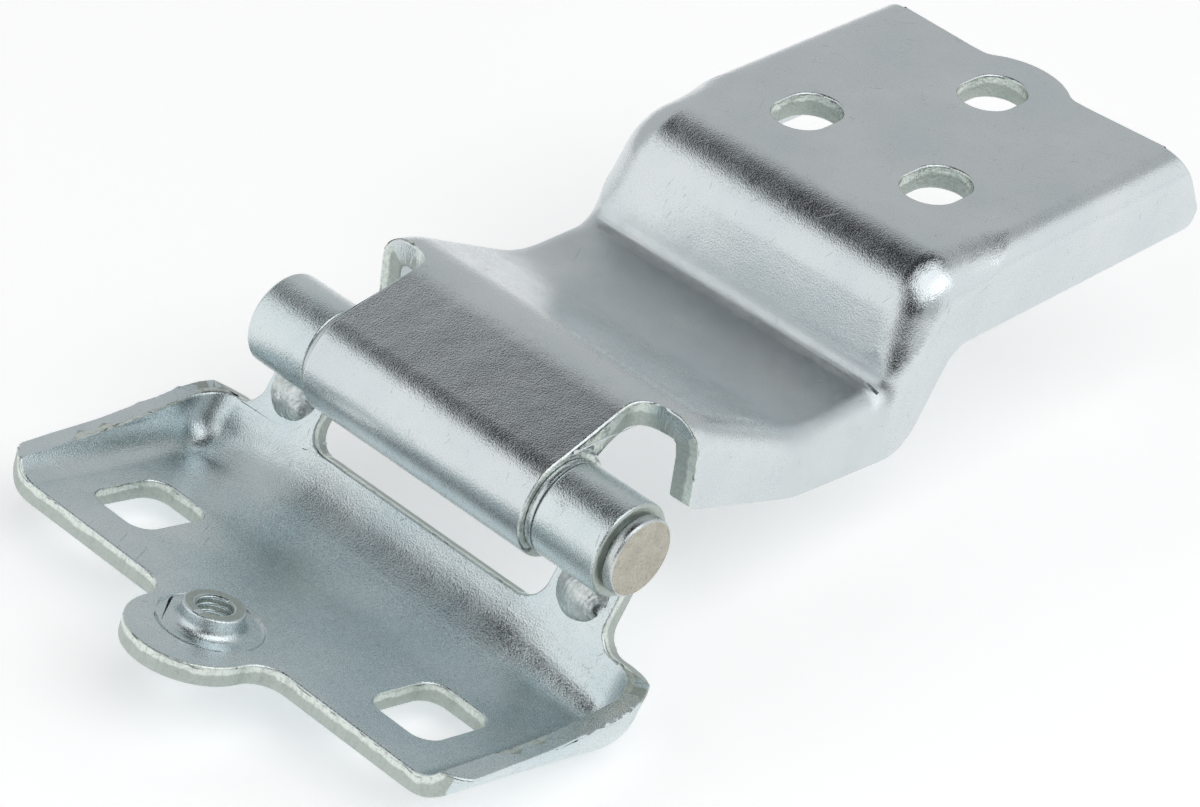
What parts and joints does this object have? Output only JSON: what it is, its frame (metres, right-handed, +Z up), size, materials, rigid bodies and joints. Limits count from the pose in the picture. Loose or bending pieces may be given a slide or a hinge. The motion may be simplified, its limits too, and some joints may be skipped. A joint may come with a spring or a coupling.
{
  "type": "car door hinge",
  "caption": "Pressed-steel door hinge: a cranked, slotted channel leaf and a rimmed tray leaf on one riveted pin.",
  "frame": {"origin": "middle of the hinge pin's axis", "axes": "+Y along the pin towards its riveted tail, +X along the cranked leaf to its slotted end, +Z up, square to that leaf's platform"},
  "size_m": [0.1835, 0.09, 0.0399],
  "materials": {
    "leaf_steel": "bright zinc plating over pressed sheet",
    "washer_steel": "plain zinc plated",
    "pin_steel": "bare ground steel",
    "weld_steel": "weld bead under zinc"
  },
  "bodies": {
    "cranked": {"cranked_leaf": "leaf_steel"},
    "tray": {"tray_leaf": "leaf_steel", "hinge_pin": "pin_steel", "washer_head_side": "washer_steel", "washer_tail_side": "washer_steel", "weld_tack_head_side": "weld_steel", "weld_tack_tail_side": "weld_steel"}
  },
  "joints": [
    {"name": "hinge_swing", "type": "hinge", "parent": "cranked", "child": "tray", "pos_m": [0, 0, 0], "axis": [0, 1, 0], "range_deg": [-75, 180]}
  ]
}
